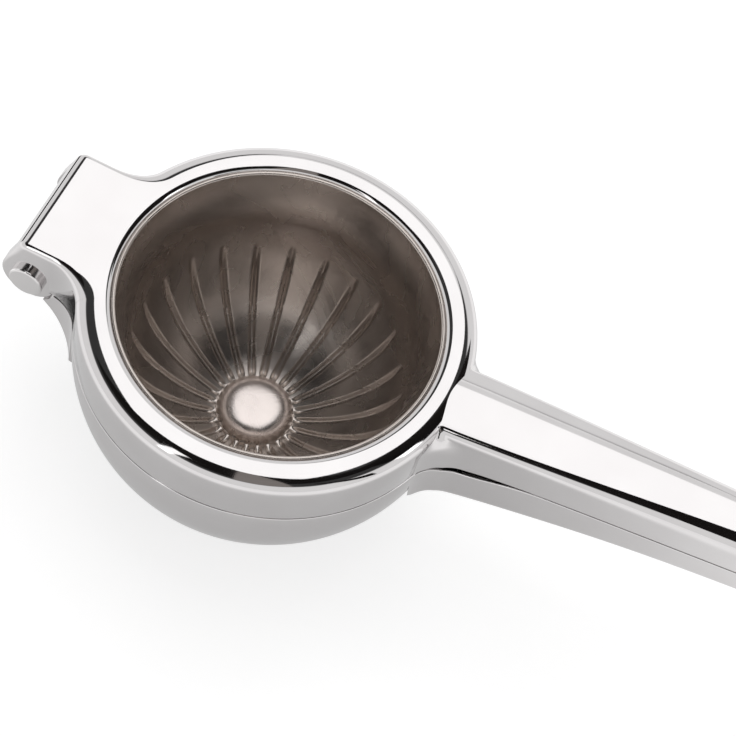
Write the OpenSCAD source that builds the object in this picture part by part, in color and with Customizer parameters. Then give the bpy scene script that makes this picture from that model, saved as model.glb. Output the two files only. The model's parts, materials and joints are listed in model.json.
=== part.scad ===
// Hinged lemon squeezer: a press lever and a cup lever on one hinge pin.
// Millimetres, +Z up, handles along +X, hinge at -X. The origin is the middle of
// the flat ring under the cup that it stands on. The squeezer is drawn closed.

/* [Cup] */
// Outer radius of the cup and of the ring that closes it
cup_r = 40; // [37:0.5:46]
// Radius of the flat ring that the cup stands on
rest_r = 16; // [13:0.5:20]
// Width of the flat ring around the drain mouth
rest_w = 3; // [2:0.25:5]
// Wall of the cup and of the press lever's skirt
cup_wall = 2; // [1.5:0.1:2.6]
// Height of the straight wall above the cup's equator
rim_h = 1.8; // [1:0.1:5]
// Gap between the two levers when they are shut
seam = 0.2; // [0.1:0.05:0.5]

/* [Ring] */
// Depth of the skirt that hangs from the ring
skirt_h = 12.5; // [10:0.25:15]
// Rounding of the ring's and the tab's outer edge
edge_r = 2.6; // [1:0.1:3.2]
// Thickness of the ring's top and of the tab's top
top_t = 2; // [1.4:0.1:2.6]
// Width of the ring's top, from the cup's wall in to the seat of the press bowl
land_w = 5.6; // [4.6:0.1:6.4]

/* [Press bowl] */
// How far the bowl's round bottom lies inside its seat
bowl_in = 4.8; // [4:0.1:8]
// Depth of the bowl's centre below the ring's top
bowl_drop = 12.9; // [11:0.1:14]
// Thickness of the pressed sheet
bowl_t = 1.2; // [0.8:0.1:1.5]
// Width of the bowl's flat lip
lip_w = 1.7; // [1.4:0.1:2.2]
// How far the lip lies below the ring's top
lip_sink = 0.4; // [0.2:0.1:0.8]
// Number of ribs pressed into the bowl
rib_count = 24; // [12:2:28]
// Half the width of a rib
rib_r = 0.8; // [0.5:0.05:0.9]
// Gap between the button's foot and a rib's inner end
rib_gap = 0.8; // [0.4:0.1:2.5]
// Degrees around the bowl from its middle to a rib's outer end
rib_turn = 74; // [45:1:76]
// Height of the round button in the middle
button_h = 3.4; // [2:0.1:4]
// Radius of the button's foot
button_r = 7.4; // [6:0.1:7.6]

/* [Strainer] */
// Space between the cup's wall and the strainer
strainer_gap = 2; // [1.6:0.1:3]
// Thickness of the strainer's sheet
strainer_t = 1; // [0.8:0.1:1.2]
// Number of slots in each ring of slots
slot_count = 16; // [8:2:18]
// Width of a slot
slot_w = 1.8; // [1.2:0.1:2.2]
// Length of a slot, measured flat
slot_len = 7; // [4:0.5:8]
// Distance from the axis to the first slots
slot_in = 7; // [6.5:0.25:9]
// Flat distance between the two rings of slots
slot_gap = 3; // [2:0.5:5]

/* [Hinge] */
// Distance from the cup's wall out to the hinge pin
hinge_out = 8.5; // [8:0.5:14]
// Depth of the pin below the ring's top
hinge_drop = 10.5; // [10:0.1:12]
// Width of the hinge tab over its two ears
tab_w = 26.2; // [20:0.2:28]
// How far the tab's top reaches past the pin
tab_over = 3; // [0:0.1:4]
// Thickness of an ear
ear_t = 3; // [2:0.1:4]
// Radius of an ear's round end
ear_r = 6; // [5.4:0.1:6.6]
// Rounding between the tab's side and the ring, seen from above
tab_blend_r = 9; // [6:0.5:13]
// Radius of the pin
pin_r = 3; // [2.5:0.1:3.3]
// Radius of the pin's heads
head_r = 3.7; // [3.5:0.1:4.4]
// How far a head stands out from its ear
head_h = 1.4; // [1.2:0.1:2.6]
// Wall of the plain bearing in the lug
bush_t = 1; // [0.8:0.1:1.2]
// Radius of the lug
lug_r = 5.4; // [5.1:0.1:5.7]
// Thickness of a thrust washer
washer_t = 0.8; // [0.5:0.1:1.2]
// Depth of the neck below the seam, at the cup
neck_h = 15; // [12:0.5:18]

/* [Handles] */
// Length of the handles, from the cup's wall to their tips
handle_len = 118; // [90:1:140]
// Half of a handle's width where it leaves the cup
root_w = 8.4; // [7:0.1:10]
// Half of a handle's width towards its tip
tip_w = 6.3; // [5.5:0.1:7.5]
// How much the middle of the upper handle's top stands over its edges
crown_h = 1.6; // [0.8:0.1:2.2]
// Height of the upper handle's side
upper_h = 10.1; // [9:0.1:12]
// Height of the lower handle's side at its tip
lower_h = 8; // [5:0.1:9]
// Extra height of the lower handle where it leaves the cup
lower_root_h = 4.4; // [3:0.1:9]
// Slope of the handles, in degrees above level
rise_turn = 6.84; // [0:0.02:9]
// Wall of the handles
handle_t = 1.5; // [1.2:0.1:2]
// Rounding of the handles' long edges
handle_edge_r = 2.2; // [1.6:0.1:2.8]
// Thickness of the plates that close the handles
plate_t = 1; // [0.8:0.1:1.4]
// Rounding between the handles' sides and the cup, seen from above
root_blend_r = 8; // [5:0.5:11]

/* [Hidden] */
$fn = 96;
fit = 0.05;             // clearance of pieces that are fixed together
run = 0.06;             // radial clearance of the pin in its bush
pin_grip = 0.02;        // radial clearance of the pin in the ears, which it is pressed into
side_play = 0.1;        // clearance on each side of a thrust washer
ear_gap = 0.3;          // between an ear's round end and the neck
ledge_t = 1.6;          // ledge that the strainer's flange lies on
pocket_wall = 0.5;      // between the lug's foot and the cup
plate_in = 0.5;         // how deep a closing plate lies under the seam
neck_turn = 54.5;       // degrees below level, round the pin, of the neck's outer tip
web_short = 2;          // degrees left out at each end of a rounded corner
web_in = 0.8;           // how far a rounded corner reaches in past its rounding
crown_up = 0.4;         // height of the crown over the ring where the handle starts
crown_in = 1.8;         // how far the handle's crown reaches in over the ring
skin_in = 8;            // how far inside the cup's radius the handles' skins start
seam_dip = 2.4;         // dip of the seam between the handles at the cup
seam_run = 8;           // length over which that dip dies out
root_run = 32;          // length over which the lower handle's extra height dies out
least_edge = 0.4;       // smallest rounding of a handle's hollow
edge_share = 0.8;       // largest share of the half width that a rounding takes
tip_share = 0.245;      // share of the half width that the last cross-section keeps
root_out = 2;           // from the cup's wall out to where the handles' width is measured
level_run = 48;         // length before the tips over which the handles bend level
level_past = 12;        // how far past the tips they would run level
low_edge_share = 1.4;   // the lower handle's rounding, as a share of the upper one's
rib_sink = 0.2;         // how far the middle of a rib lies inside the bowl's outer face
groove_lift = 0.15;     // how far the middle of its groove lies outside the inner face
groove_share = 0.75;    // the groove's radius as a share of the rib's
arc_steps = 5;          // segments in each rounded long edge of a handle
crown_steps = 6;        // segments across a handle's crowned top
station_count = 22;     // cross-sections along a handle
tip_steps = 6;          // cross-sections in its round tip
small_fn = 24;          // segments of the ribs and of the slots' ends
turn_start = 100;       // degrees from the handles to where a turned form's sweep starts
eps = 0.01;
over = 1;               // how far a cutter runs past a face
wide = 300;

equator_z = sqrt(cup_r * cup_r - rest_r * rest_r);
seam_z = equator_z + rim_h + seam;       // underside of the skirt
ring_z = seam_z + skirt_h;               // top of the ring
rim_z = seam_z - seam;                   // top of the cup's rim
drain_r = rest_r - rest_w;
hinge_x = cup_r + hinge_out;
handle_end = cup_r + handle_len;
seat_r = cup_r - land_w;
bowl_r = seat_r - bowl_in;
bowl_z = ring_z - bowl_drop;             // centre of the bowl's round bottom
lip_z = ring_z - lip_sink;               // top of the bowl's lip
lip_out_r = seat_r - 2 * fit;
lip_in_r = lip_out_r - lip_w;
ledge_in_r = lip_in_r + bowl_t + fit;    // the ledge that the bowl's lip lies on
button_ball_r = (button_r * button_r + button_h * button_h) / (2 * button_h);
button_z = bowl_z - sqrt(bowl_r * bowl_r - button_r * button_r) + button_h - button_ball_r;
wall_mid_r = cup_r - cup_wall / 2;       // middle of the round walls
flange_r = cup_r - cup_wall;
strainer_r = flange_r - strainer_gap - strainer_t;
strainer_z = rim_z - strainer_t;         // centre of the strainer's round bottom
strainer_out_r = strainer_r + strainer_t + 4 * fit;
rib_in = button_r + rib_gap;
hinge_z = ring_z - hinge_drop;
tab_end_x = hinge_x + tab_over;
tab_low_z = seam_z + fit;                // undersides of the tab and of its corners, each
web_low_z = tab_low_z + fit;             // a little higher, so no two lie in one plane
neck_x = -hinge_x + ear_r * cos(neck_turn);      // the neck's outer tip, under the ears
neck_tip_z = hinge_z - ear_r * sin(neck_turn);
neck_low_z = rim_z - neck_h;
neck_foot_x = cup_wall / 2 - sqrt(pow(cup_r, 2) - pow(equator_z - neck_low_z, 2));
pocket_x = -cup_r - pocket_wall;         // the lug's foot reaches in as far as here
washer_y = tab_w / 2 - ear_t - side_play - washer_t;   // inner face of a washer
lug_y = washer_y - side_play;            // half of the lug's width
washer_r = lug_r - side_play;
bush_r = pin_r + run + bush_t;
root_x = cup_r + root_out;               // where the handles' width is measured
straight_x = handle_end - level_run;     // the handles rise evenly as far as here
level_x = handle_end + level_past;       // and would run level here
low_edge_r = low_edge_share * handle_edge_r;
web_depth = edge_r + web_in;             // how far a rounded corner reaches into what it joins
skin_x = cup_r - skin_in;                // the handles' skins start here
hollow_x = skin_x - over;                // and their hollows here
hollow_end_x = handle_end - 2 * handle_t;
plate_x = corner_x(root_w, root_blend_r) + fit;  // the closing plates start past the corners

// ---- shapes shared by the two levers ----

// Turn and distance of the middle of a rounded corner beside a straight side at w
function corner_turn(w, r) = asin((w + r) / (cup_r + r));
function corner_x(w, r) = (cup_r + r) * cos(corner_turn(w, r));

// A quarter round of an edge, as (across, down) steps from the flat on top
function edge_arc(r) = [for (i = [0 : arc_steps]) let (a = 90 * i / arc_steps)
    [r - r * sin(90 - a), r - r * sin(a)]];

// Half width of the handles at a place along them, with a round tip
function half_w(x) =
    let (taper = min(1, max(0, (x - root_x) / (straight_x - root_x))),
         w = root_w + (tip_w - root_w) * taper,
         in_tip = max(0, x - (handle_end - tip_w)) / tip_w)
    w * sqrt(max(pow(tip_share, 2), 1 - in_tip * in_tip));

// Height of the upper handle's top at its edges, under the crown
function top_edge_z(x) =
    let (past = max(0, x - straight_x))
    ring_z - crown_h + crown_up
        + tan(rise_turn) * (x - root_x - past * past / (2 * (level_x - straight_x)));

// Height of the crown above the edges, the same curve at every width
function crown_z(x, y) = crown_h * (1 - pow(y / half_w(x), 2)) * half_w(x) / root_w;

// Height at which the upper handle's rounded edge starts, at the ring
handle_side_z = top_edge_z(root_x) + crown_z(root_x, root_w - handle_edge_r);

// Height of the seam between the handles: level at the cup, then rising
function seam_line_z(x) =
    max(seam_z, top_edge_z(x) + crown_h - crown_up - upper_h
        - seam_dip * exp(-(x - root_x) / seam_run));

// Depth of the lower handle below the seam
function low_h(x) = lower_h + lower_root_h * exp(-pow((x - root_x) / root_run, 2));

// Places of the cross-sections of the outside, closer together in the round tip
function stations() =
    let (body = station_count - tip_steps, tip_x = handle_end - tip_w)
    concat([for (i = [0 : body - 1]) skin_x + (tip_x - skin_x) * i / body],
           [for (i = [0 : tip_steps]) tip_x + tip_w * sin(90 * i / tip_steps)]);

// Places of the cross-sections of what lies inside the handles' walls
function inner_stations() =
    [for (i = [0 : station_count]) hollow_x + (hollow_end_x - hollow_x) * i / station_count];

// Places of the cross-sections of a closing plate, which lies inside that hollow
function plate_stations() =
    concat([plate_x], [for (x = inner_stations()) if (x > plate_x + over)
                       min(x, hollow_end_x - fit)]);

// Height of the neck's sloping underside
function neck_under_z(x) =
    neck_tip_z - (neck_tip_z - neck_low_z) * (x - neck_x) / (neck_foot_x - neck_x);

// Outline of the upper handle at one station, as (y, z), wall taken off by t
function upper_outline(x, t) =
    let (w = half_w(x) - t, z0 = seam_line_z(x) + (t > 0 ? -over : eps),
         r = min(w * edge_share, max(least_edge, handle_edge_r - t)),
         z1 = top_edge_z(x) - t,
         crown = [for (i = [1 : crown_steps - 1]) let (y = (w - r) * (2 * i / crown_steps - 1))
                  [y, z1 + crown_z(x, y)]],
         e = crown_z(x, w - r))
    concat([[-w, z0]],
           [for (p = edge_arc(r)) [-w + p[0], z1 + e - p[1]]],
           crown,
           [for (i = [arc_steps : -1 : 0]) let (p = edge_arc(r)[i]) [w - p[0], z1 + e - p[1]]],
           [[w, z0]]);

// Outline of the lower handle at one station, as (y, z), wall taken off by t
function lower_outline(x, t) =
    let (w = half_w(x) - t, z0 = seam_line_z(x) + (t > 0 ? over : -seam),
         r = min(w * edge_share, max(least_edge, low_edge_r - t)),
         z1 = seam_line_z(x) - low_h(x) + t)
    concat([[w, z0]],
           [for (p = edge_arc(r)) [w - p[0], z1 + p[1]]],
           [for (i = [arc_steps : -1 : 0]) let (p = edge_arc(r)[i]) [-w + p[0], z1 + p[1]]],
           [[-w, z0]]);

// Outline of a closing plate at one station, as (y, z), over its underside at z
function plate_outline(x, z, t) =
    let (w = half_w(x) - handle_t - fit)
    [[-w, z], [-w, z + t], [w, z + t], [w, z]];

// A closed skin through equal outlines, each at its own x
module skin(xs, outlines) {
    n = len(outlines[0]);
    m = len(xs);
    points = [for (k = [0 : m - 1]) for (p = outlines[k]) [xs[k], p[0], p[1]]];
    sides = [for (k = [0 : m - 2]) for (i = [0 : n - 1])
        let (j = (i + 1) % n, a = k * n + i, b = k * n + j)
        [a, b, b + n, a + n]];
    ends = [[for (i = [n - 1 : -1 : 0]) i], [for (i = [0 : n - 1]) (m - 1) * n + i]];
    polyhedron(points, concat(sides, ends), convexity = 6);
}

module upper_skin(t) {
    xs = t > 0 ? inner_stations() : stations();
    skin(xs, [for (x = xs) upper_outline(x, t)]);
}

module lower_skin(t) {
    xs = t > 0 ? inner_stations() : stations();
    skin(xs, [for (x = xs) lower_outline(x, t)]);
}

// Concave corner between a straight side at distance w from the middle and the
// cup's round wall: dir is 1 at the handles and -1 at the hinge. It stops a little
// short of where it would touch the flat side and the round wall edge on.
module corner_web(w, r, z0, z1, edge, dir) {
    turn = corner_turn(w, r);
    for (side = [-1, 1])
        mirror([dir < 0 ? 1 : 0, 0, 0]) mirror([0, side < 0 ? 1 : 0, 0])
        translate([corner_x(w, r), w + r, 0]) rotate([0, 0, 180 + turn + web_short])
        rotate_extrude(angle = 90 - turn - 2 * web_short)
        difference() {
            translate([r, z0]) square([web_depth, z1 - z0]);
            if (edge > 0) difference() {
                translate([r - eps, z1 - edge]) square([edge, edge + eps]);
                translate([r + edge, z1 - edge]) circle(edge);
            }
        }
}

// Side view of an ear: the tab's rounded end, and the round end around the pin,
// with the line that runs into both rounds
module ear_outline() {
    pin = [-hinge_x, hinge_z];
    top = [-tab_end_x + edge_r, ring_z - edge_r];
    lean = atan2(top[1] - pin[1], top[0] - pin[0]) + acos((ear_r - edge_r) / norm(top - pin));
    out = [cos(lean), sin(lean)];
    translate(pin) circle(ear_r);
    translate(top) circle(edge_r);
    polygon([top + edge_r * out, pin + ear_r * out, pin, [-hinge_x, tab_low_z],
             [-drain_r, tab_low_z], [-drain_r, ring_z], [top[0], ring_z], top]);
}

// A turned form whose sweep starts between the handles and the hinge, clear of both
module turned() rotate([0, 0, turn_start]) rotate_extrude() children();

// A solid drawn in side view and pulled out to both sides of the middle
module across(half) rotate([90, 0, 0]) linear_extrude(2 * half, center = true) children();

// All that lies lower than the seam between the handles by drop
module under_seam(drop) {
    across(cup_r) polygon(concat([for (x = stations()) [x, seam_line_z(x) - drop]],
                                 [[handle_end, 0], [skin_x, 0]]));
}

// ---- press lever ----

module ring_profile() {
    difference() {
        translate([0, seam_z]) square([cup_r, skirt_h]);
        translate([-over, seam_z - over]) square([flange_r + over, skirt_h - top_t + over]);
        translate([-over, seam_z]) square([ledge_in_r + over, skirt_h + over]);
        translate([-over, lip_z - bowl_t]) square([seat_r + over, skirt_h]);
        translate([cup_r - edge_r, ring_z - edge_r]) difference() {
            square(edge_r + over);
            circle(edge_r);
        }
    }
}

// Front view of the tab, with its two long top edges rounded
module tab_front() {
    difference() {
        translate([-tab_w / 2, hinge_z - ear_r]) square([tab_w, hinge_drop + ear_r]);
        for (s = [-1, 1]) translate([s * (tab_w / 2 - edge_r), ring_z - edge_r]) difference() {
            translate([s < 0 ? -edge_r - over : 0, 0]) square(edge_r + over);
            circle(edge_r);
        }
    }
}

module press_tab() {
    difference() {
        union() {
            intersection() {
                across(tab_w / 2) ear_outline();
                rotate([90, 0, -90]) linear_extrude(hinge_x + ear_r + over) tab_front();
            }
            corner_web(tab_w / 2, tab_blend_r, web_low_z, ring_z, edge_r, -1);
        }
        // the hollow between the ears, under the tab's top and behind its end
        translate([-tab_end_x + top_t, -tab_w / 2 + ear_t, 0])
            cube([tab_end_x, tab_w - 2 * ear_t, ring_z - top_t]);
        translate([-wide, -tab_w / 2 + ear_t, 0])
            cube([wide, tab_w - 2 * ear_t, hinge_z + ear_r]);
        // the pin's bore through both ears
        translate([-hinge_x, 0, hinge_z]) rotate([90, 0, 0])
            cylinder(r = pin_r + pin_grip, h = 2 * tab_w, center = true);
    }
}

module press_frame() color("#D9D9DB") {
    turned() ring_profile();
    difference() {
        union() {
            press_tab();
            difference() {
                corner_web(root_w, root_blend_r, seam_z, handle_side_z, handle_edge_r, 1);
                under_seam(0);
            }
        }
        cylinder(r = wall_mid_r, h = ring_z - top_t / 2);
        cylinder(r = seat_r + fit, h = wide);
    }
    difference() {
        upper_skin(0);
        upper_skin(handle_t);
        cylinder(r = cup_r - crown_in, h = wide);
    }
}

module bowl_ring_2d(r, z, ball_r, ball_z) {
    difference() {
        translate([0, z]) circle(r);
        translate([0, ball_z]) circle(ball_r);
        translate([-wide, z]) square([2 * wide, wide]);
        translate([-wide, -wide]) square([wide, 2 * wide]);
    }
}

// Arc-shaped round bars that follow the bowl from the button up its side
module ribs(path_r, r) {
    from = asin(rib_in / path_r);
    for (i = [0 : rib_count - 1])
        rotate([0, 0, 360 * i / rib_count]) translate([0, 0, bowl_z]) rotate([90, 0, 0])
        rotate([0, 0, -90 + from]) rotate_extrude(angle = rib_turn - from)
        translate([path_r, 0]) circle(r, $fn = small_fn);
}

module press_bowl() color("#8F8782") {
    outer_r = bowl_r + bowl_t;
    difference() {
        union() {
            turned() {
                difference() {
                    bowl_ring_2d(outer_r, bowl_z, button_ball_r - bowl_t, button_z);
                    bowl_ring_2d(bowl_r, bowl_z, button_ball_r, button_z);
                }
                polygon([[bowl_r, bowl_z], [outer_r, bowl_z],
                         [lip_in_r + bowl_t, lip_z - bowl_t], [lip_out_r, lip_z - bowl_t],
                         [lip_out_r, lip_z], [lip_in_r, lip_z]]);
            }
            ribs(outer_r - rib_sink, rib_r);
        }
        ribs(bowl_r + groove_lift, rib_r * groove_share);
    }
}

module press_handle_plate() color("#C9C9CB") {
    xs = plate_stations();
    skin(xs, [for (x = xs) plate_outline(x, seam_line_z(x) + plate_in, plate_t)]);
}

// ---- cup lever ----

module cup_shell() {
    rotate_extrude() difference() {
        union() {
            intersection() {
                translate([0, equator_z]) circle(cup_r);
                square([cup_r, equator_z]);
            }
            translate([0, equator_z]) square([cup_r, rim_z - equator_z]);
        }
        // inside of the shell, above its flat floor
        intersection() {
            translate([0, equator_z]) circle(cup_r - cup_wall);
            translate([0, cup_wall]) square([cup_r, equator_z - cup_wall]);
        }
        square([drain_r, equator_z]);
        // bore through the ledge, and the seat of the strainer's flange over it
        translate([0, equator_z - over]) square([strainer_out_r, skirt_h]);
        translate([0, strainer_z]) square([flange_r + 2 * fit, skirt_h]);
    }
    // ledge on the inside of the wall
    rotate_extrude() translate([strainer_out_r, strainer_z - ledge_t])
        square([wall_mid_r - strainer_out_r, ledge_t]);
}

// Side view of the neck that carries the hinge, under the seam
module neck_outline() {
    polygon([[neck_x, rim_z], [-drain_r, rim_z], [-drain_r, neck_low_z],
             [neck_foot_x, neck_low_z], [neck_x, neck_tip_z]]);
}

module cup_neck() {
    difference() {
        intersection() {
            across(cup_r) neck_outline();
            union() {
                translate([neck_x - over, -tab_w / 2, 0]) cube([cup_r, tab_w, ring_z]);
                corner_web(tab_w / 2, tab_blend_r, 0, ring_z, 0, -1);
            }
        }
        translate([-hinge_x, 0, hinge_z]) rotate([90, 0, 0])
            cylinder(r = ear_r + ear_gap, h = 2 * tab_w, center = true);
        translate([-hinge_x, -lug_y - fit, 0]) cube([hinge_x + pocket_x, 2 * (lug_y + fit), ring_z]);
        cup_core();
    }
}

// What lies inside the middle of the cup's wall
module cup_core() {
    translate([0, 0, equator_z]) sphere(wall_mid_r);
    translate([0, 0, equator_z]) cylinder(r = wall_mid_r, h = wide);
}

module cup_frame() color("#D2D2D4") {
    cup_shell();
    cup_neck();
    difference() {
        union() {
            intersection() {
                corner_web(root_w, root_blend_r, rim_z - low_h(root_x) + low_edge_r, ring_z, 0, 1);
                under_seam(seam);
            }
            difference() {
                lower_skin(0);
                lower_skin(handle_t);
            }
        }
        cup_core();
    }
}

module strainer_bowl() color("#A8A29E") {
    difference() {
        rotate_extrude() {
            difference() {
                translate([0, strainer_z]) circle(strainer_r + strainer_t);
                translate([0, strainer_z]) circle(strainer_r);
                translate([-wide, strainer_z]) square([2 * wide, wide]);
                translate([-wide, -wide]) square([wide, 2 * wide]);
            }
            translate([strainer_r, strainer_z]) square([flange_r - strainer_r, strainer_t]);
        }
        for (row = [0, 1]) for (i = [0 : slot_count - 1])
            rotate([0, 0, 360 * (i + row / 2) / slot_count])
            translate([slot_in + row * (slot_len + slot_gap), 0, 0]) {
                translate([slot_w / 2, -slot_w / 2, 0]) cube([slot_len - slot_w, slot_w, equator_z / 2]);
                for (e = [slot_w / 2, slot_len - slot_w / 2])
                    translate([e, 0, 0]) cylinder(r = slot_w / 2, h = equator_z / 2, $fn = small_fn);
            }
    }
}

module cup_handle_plate() color("#C9C9CB") {
    xs = plate_stations();
    skin(xs, [for (x = xs) plate_outline(x, seam_line_z(x) - seam - plate_in - plate_t, plate_t)]);
}

// ---- hinge ----

module hinge_lug() color("#BDBDC0") {
    difference() {
        union() {
            translate([-hinge_x, 0, hinge_z]) rotate([90, 0, 0])
                cylinder(r = lug_r, h = 2 * lug_y, center = true);
            across(lug_y) polygon([[-hinge_x, hinge_z - bush_r - run], [-hinge_x, rim_z],
                                   [pocket_x - fit, rim_z], [pocket_x - fit, neck_under_z(pocket_x)],
                                   [neck_x, neck_tip_z]]);
        }
        translate([-hinge_x, 0, hinge_z]) rotate([90, 0, 0])
            cylinder(r = bush_r + fit / 2, h = tab_w, center = true);
    }
}

// A plain ring around the pin between two places across the hinge
module hinge_ring(inner, outer, from, to) {
    translate([-hinge_x, to, hinge_z]) rotate([90, 0, 0]) difference() {
        cylinder(r = outer, h = to - from);
        translate([0, 0, -over]) cylinder(r = inner, h = to - from + 2 * over);
    }
}

module lug_bush() color("#B08D57")
    hinge_ring(pin_r + run, bush_r, -lug_y, lug_y);

module washer_near() color("#CFCFCF")
    hinge_ring(pin_r + run, washer_r, -washer_y - washer_t, -washer_y);

module washer_far() color("#CFCFCF")
    hinge_ring(pin_r + run, washer_r, washer_y, washer_y + washer_t);

// Rounded head, drawn standing on the plane z = 0
module pin_head() {
    edge = head_h / 3;
    rotate_extrude() difference() {
        square([head_r, head_h]);
        translate([head_r - edge, head_h - edge]) difference() {
            square(2 * edge);
            circle(edge);
        }
    }
}

module hinge_pin() color("#C4C4C6")
    translate([-hinge_x, -tab_w / 2, hinge_z]) rotate([90, 0, 0]) {
        pin_head();
        translate([0, 0, -tab_w - head_h / 2]) cylinder(r = pin_r, h = tab_w + head_h / 2 + eps);
    }

module pin_cap() color("#C4C4C6")
    translate([-hinge_x, tab_w / 2, hinge_z]) rotate([-90, 0, 0]) difference() {
        pin_head();
        translate([0, 0, -over]) cylinder(r = pin_r + fit / 2, h = head_h / 2 + fit + over);
    }

press_frame();
press_bowl();
press_handle_plate();
cup_frame();
strainer_bowl();
cup_handle_plate();
hinge_lug();
lug_bush();
hinge_pin();
pin_cap();
washer_near();
washer_far();
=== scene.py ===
import json
import math
import bmesh
import bpy
from mathutils import Matrix, Vector


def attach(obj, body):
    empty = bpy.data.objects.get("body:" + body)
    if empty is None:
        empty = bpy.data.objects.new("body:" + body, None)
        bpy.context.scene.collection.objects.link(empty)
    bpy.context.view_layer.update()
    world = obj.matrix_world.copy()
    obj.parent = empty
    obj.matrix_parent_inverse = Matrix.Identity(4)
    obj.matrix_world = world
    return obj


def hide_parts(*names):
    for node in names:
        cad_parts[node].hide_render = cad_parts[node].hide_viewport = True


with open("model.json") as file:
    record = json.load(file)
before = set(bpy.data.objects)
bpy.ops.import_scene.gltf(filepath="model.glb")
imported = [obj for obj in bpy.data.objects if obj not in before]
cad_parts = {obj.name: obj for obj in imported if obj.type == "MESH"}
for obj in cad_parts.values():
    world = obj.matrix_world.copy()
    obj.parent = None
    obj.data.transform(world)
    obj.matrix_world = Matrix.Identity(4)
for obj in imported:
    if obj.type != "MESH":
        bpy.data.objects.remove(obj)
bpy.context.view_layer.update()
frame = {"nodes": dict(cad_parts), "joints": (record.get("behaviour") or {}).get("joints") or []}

# ---- Camera ----
# A long lens looking steeply down on the cup from the side where the hinge pin shows its
# head, turned a little, so that the handles run out of the picture at the lower right.
MM = 0.001
RING_TOP = 51.161
CAMERA_FAR, SHIFT_RIGHT, SHIFT_DOWN = 500, 17.17, 11.68
look_az, look_el, look_roll = math.radians(9.7), math.radians(58.33), math.radians(17.89)
back = Vector((math.sin(look_az) * math.cos(look_el), -math.cos(look_az) * math.cos(look_el),
               math.sin(look_el)))
level = Vector((math.cos(look_az), math.sin(look_az), 0))
rise = back.cross(level)
across = math.cos(look_roll) * level + math.sin(look_roll) * rise
upward = math.cos(look_roll) * rise - math.sin(look_roll) * level
stand = (Vector((0, 0, RING_TOP)) + back * CAMERA_FAR
         + across * SHIFT_RIGHT - upward * SHIFT_DOWN) * MM
lens = bpy.data.cameras.new("long_lens")
lens.sensor_width = 36
lens.lens = 124.48
lens.clip_start = 0.01
camera = bpy.data.objects.new("camera", lens)
bpy.context.scene.collection.objects.link(camera)
camera.matrix_world = Matrix((across, upward, back)).transposed().to_4x4()
camera.location = stand
bpy.context.scene.camera = camera
bpy.context.scene.view_settings.view_transform = "Standard"

# ---- Table, softboxes and black cloth ----
# A white painted table with a wide softbox overhead and one behind it, a small one at the right
# and a narrow strip in front. Only polished metal sees the black cloth hung round the near
# side and the two cards, which give chrome its dark lines and light nothing.
CLOTH_R = 1.6


def linear(code):
    """The linear colour of an sRGB hex value."""
    parts = [int(code[i:i + 2], 16) / 255 for i in (1, 3, 5)]
    return [c / 12.92 if c <= 0.04045 else ((c + 0.055) / 1.055) ** 2.4 for c in parts] + [1]


def add(tree, kind, settings, **inputs):
    """Adds a node with its settings, and sets or links its inputs by name or as in0, in1."""
    made = tree.nodes.new(kind)
    for name, value in settings.items():
        setattr(made, name, value)
    for name, value in inputs.items():
        place = int(name[2:]) if name[2:].isdigit() else name.replace("_", " ")
        if isinstance(value, bpy.types.NodeSocket):
            tree.links.new(value, made.inputs[place])
        else:
            made.inputs[place].default_value = value
    return made


def bare_material(name):
    """A new material without any node, and its node tree."""
    made = bpy.data.materials.new(name)
    made.use_nodes = True
    made.node_tree.nodes.clear()
    return made, made.node_tree


def deselect():
    """Leaves edit mode and drops every selection."""
    if bpy.context.object and bpy.context.object.mode == "EDIT":
        bpy.ops.object.mode_set(mode="OBJECT")
    bpy.ops.object.select_all(action="DESELECT")


def seen_by_metal_only(piece):
    """Hides a piece from everything but reflections, and lets all light through it."""
    piece.visible_camera = False
    piece.visible_diffuse = False
    piece.visible_shadow = False
    piece.visible_transmission = False


def shown_directly(tree):
    """1 where the camera, a reflection or a pane of glass looks at the surface, else 0."""
    path = add(tree, "ShaderNodeLightPath", {})
    seen = add(tree, "ShaderNodeMath", {"operation": "MAXIMUM"},
               in0=path.outputs["Is Camera Ray"], in1=path.outputs["Is Glossy Ray"])
    return add(tree, "ShaderNodeMath", {"operation": "MAXIMUM"}, in0=seen.outputs[0],
               in1=path.outputs["Is Transmission Ray"]).outputs[0]


deselect()
bpy.ops.mesh.primitive_plane_add(size=8, location=(0, 0, 0))
table = bpy.context.object
table.name = "table_top"

# White painted board, sanded: part of its light is its own where it is looked at, so it
# reads as plain white while the squeezer's soft shadow stays on it. The glow that reflections
# see is weaker close under the cup: a painted shade. Its grain is drawn 6 mm coarse, so that it
# can show.
board, tree = bare_material("white_painted_board")
grain = add(tree, "ShaderNodeTexNoise", {}, Scale=180.0, Detail=3.0)
tone = add(tree, "ShaderNodeMix", {"data_type": "RGBA"}, in0=grain.outputs["Fac"],
           in6=linear("#B8B8B8"), in7=linear("#BFBFBF"))
paint = add(tree, "ShaderNodeBsdfDiffuse", {}, Color=tone.outputs[2])
path = add(tree, "ShaderNodeLightPath", {})
place = add(tree, "ShaderNodeTexCoord", {})
reach = add(tree, "ShaderNodeVectorMath", {"operation": "LENGTH"}, in0=place.outputs["Object"])
# Painted shade: the glow that reflections see is dimmer close to the cup.
glow_with_painted_shade = add(tree, "ShaderNodeMapRange", {"interpolation_type": "SMOOTHSTEP"},
          Value=reach.outputs["Value"], From_Min=0.055, From_Max=0.15, To_Min=0.3, To_Max=0.8)
shown = add(tree, "ShaderNodeMath", {"operation": "MULTIPLY"}, in0=glow_with_painted_shade.outputs[0],
            in1=path.outputs["Is Glossy Ray"])
lift = add(tree, "ShaderNodeMath", {"operation": "MULTIPLY_ADD"},
           in0=path.outputs["Is Camera Ray"], in1=0.64, in2=shown.outputs[0])
glow = add(tree, "ShaderNodeEmission", {}, Strength=lift.outputs[0])
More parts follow.
